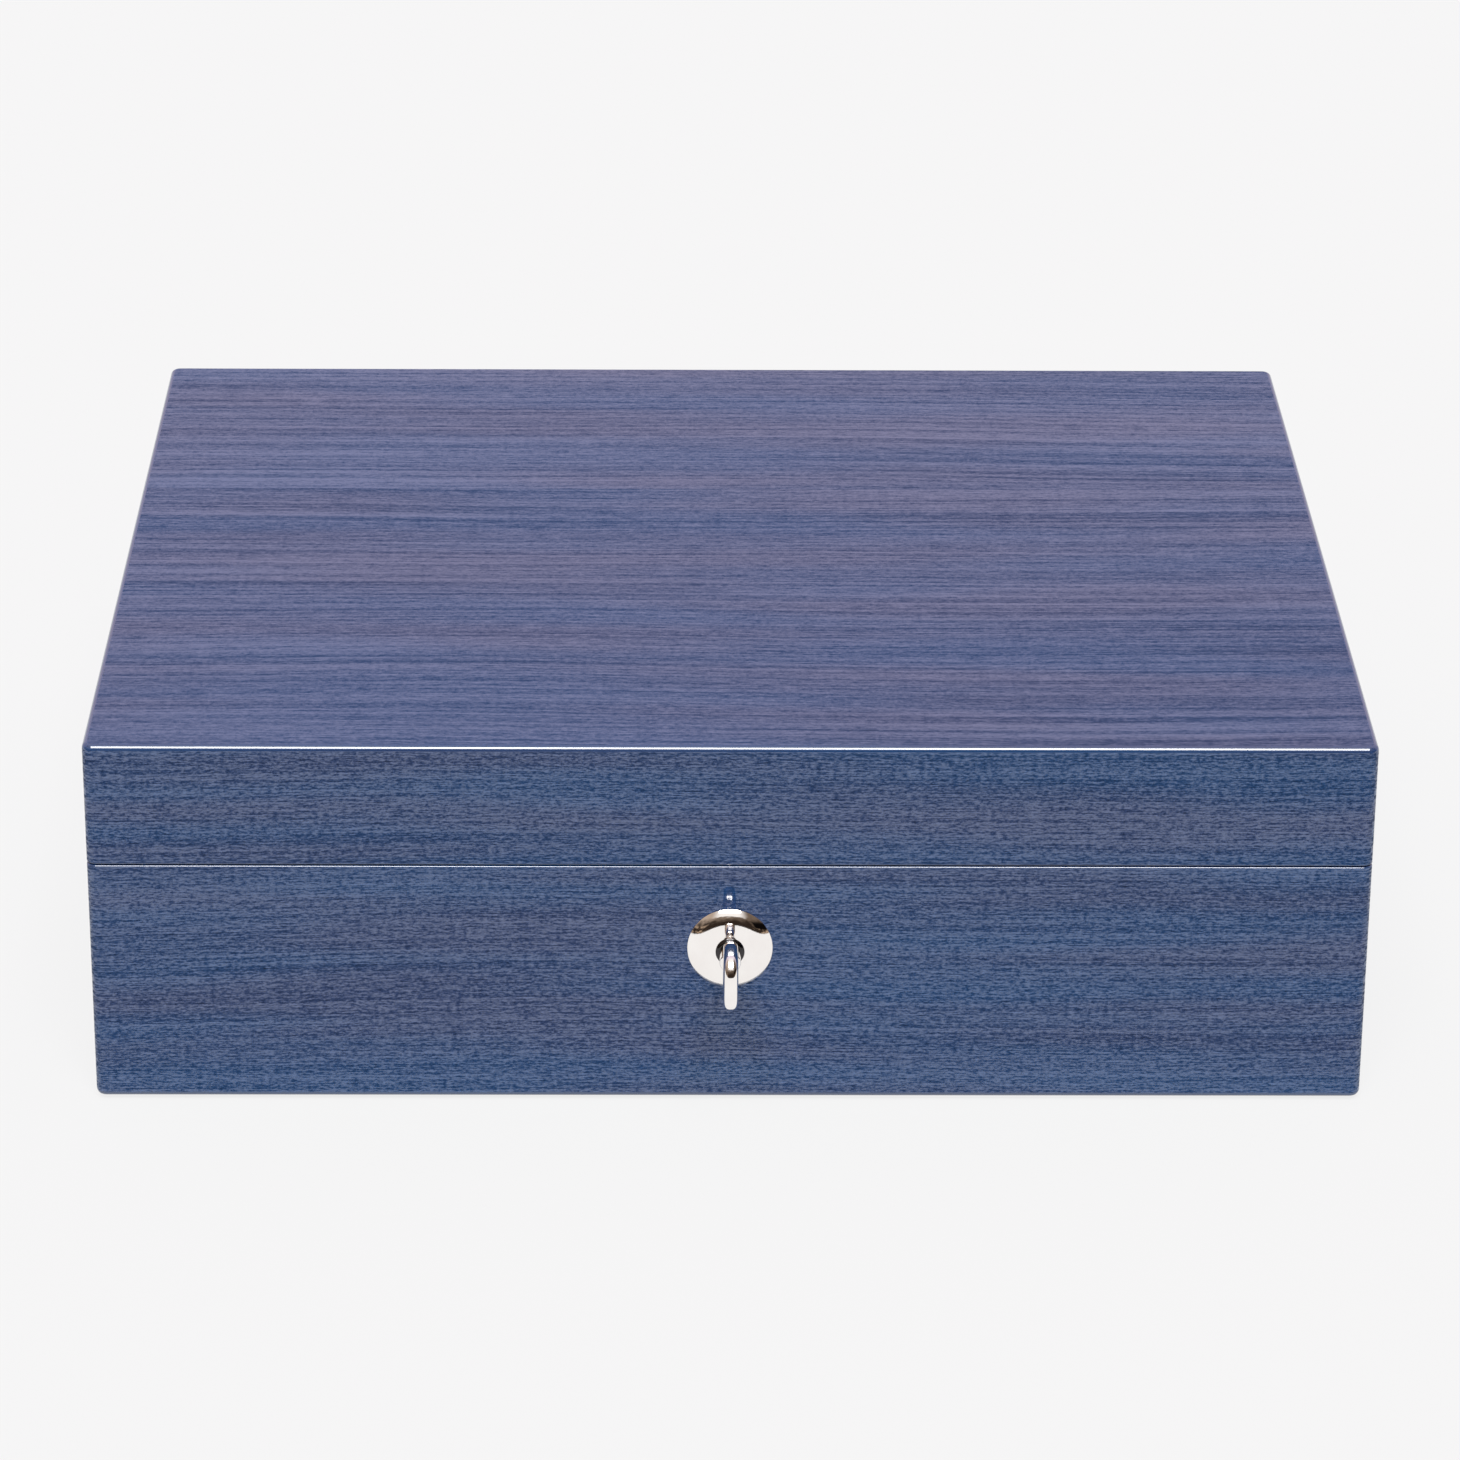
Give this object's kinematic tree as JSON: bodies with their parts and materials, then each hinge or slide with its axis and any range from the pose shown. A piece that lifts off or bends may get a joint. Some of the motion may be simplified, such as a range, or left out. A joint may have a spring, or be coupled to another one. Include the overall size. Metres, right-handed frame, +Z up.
{
  "type": "lockable keepsake box",
  "caption": "Lined wooden box with a hinged lid, a lock with a round rose, and a ring-bow key.",
  "frame": {"origin": "centre of the underside, on the surface the box stands on", "axes": "+X to the right seen from the front, +Y to the back, where the hinges are, +Z up"},
  "size_m": [0.32, 0.3006, 0.098],
  "materials": {
    "veneer": "blue-dyed veneer under gloss lacquer",
    "suede": "short-nap suede cloth",
    "baize": "pressed felt",
    "nickel": "polished nickel plate",
    "dark_nickel": "black nickel plate",
    "steel": "drawn steel",
    "brass": "machined brass",
    "floor_board": "plain board"
  },
  "bodies": {
    "base": {"base_back_liner": "suede", "base_back_wall": "veneer", "base_bottom_panel": "floor_board", "base_felt": "baize", "base_front_liner": "suede", "base_front_wall": "veneer", "base_left_liner": "suede", "base_left_wall": "veneer", "base_right_liner": "suede", "base_right_wall": "veneer", "detent_spring": "steel", "escutcheon": "nickel", "floor_pad": "suede", "hinge_base_screws": "nickel", "left_hinge_base_leaf": "nickel", "left_hinge_pin": "nickel", "lock_case": "steel", "lock_case_screws": "steel", "lock_cover": "steel", "lock_cover_screws": "steel", "lock_cylinder": "brass", "lock_selvedge": "nickel", "nose_ring": "dark_nickel", "right_hinge_base_leaf": "nickel", "right_hinge_pin": "nickel", "selvedge_screws": "nickel"},
    "lid": {"hinge_lid_screws": "nickel", "left_hinge_lid_leaf": "nickel", "lid_back_liner": "suede", "lid_back_rail": "veneer", "lid_front_liner": "suede", "lid_front_rail": "veneer", "lid_left_liner": "suede", "lid_left_rail": "veneer", "lid_pad": "suede", "lid_right_liner": "suede", "lid_right_rail": "veneer", "lid_top_panel": "veneer", "right_hinge_lid_leaf": "nickel", "strike_plate": "nickel", "strike_screws": "nickel"},
    "plug": {"lock_plug": "brass", "drive_cam": "steel", "cam_screw": "steel"},
    "key": {"key_stem": "nickel", "key_bow": "nickel"},
    "bolt": {"lock_bolt": "brass"}
  },
  "joints": [
    {"name": "lid_hinge", "type": "hinge", "parent": "base", "child": "lid", "pos_m": [0, 0.1382, 0.06565], "axis": [-1, 0, 0], "range_deg": [0, 95]},
    {"name": "key_turn", "type": "hinge", "parent": "base", "child": "plug", "pos_m": [0, -0.136, 0.0431], "axis": [0, 1, 0], "range_deg": [0, 90]},
    {"name": "key_slide", "type": "slide", "parent": "plug", "child": "key", "axis": [0, -1, 0], "range_m": [0, 0.012]},
    {"name": "bolt_slide", "type": "slide", "parent": "base", "child": "bolt", "axis": [1, 0, 0], "range_m": [0, 0.00496], "deforming": ["detent_spring"]}
  ],
  "couplings": [
    {"joint": "bolt_slide", "follows": "key_turn", "m_per_rad": 0.003151}
  ]
}
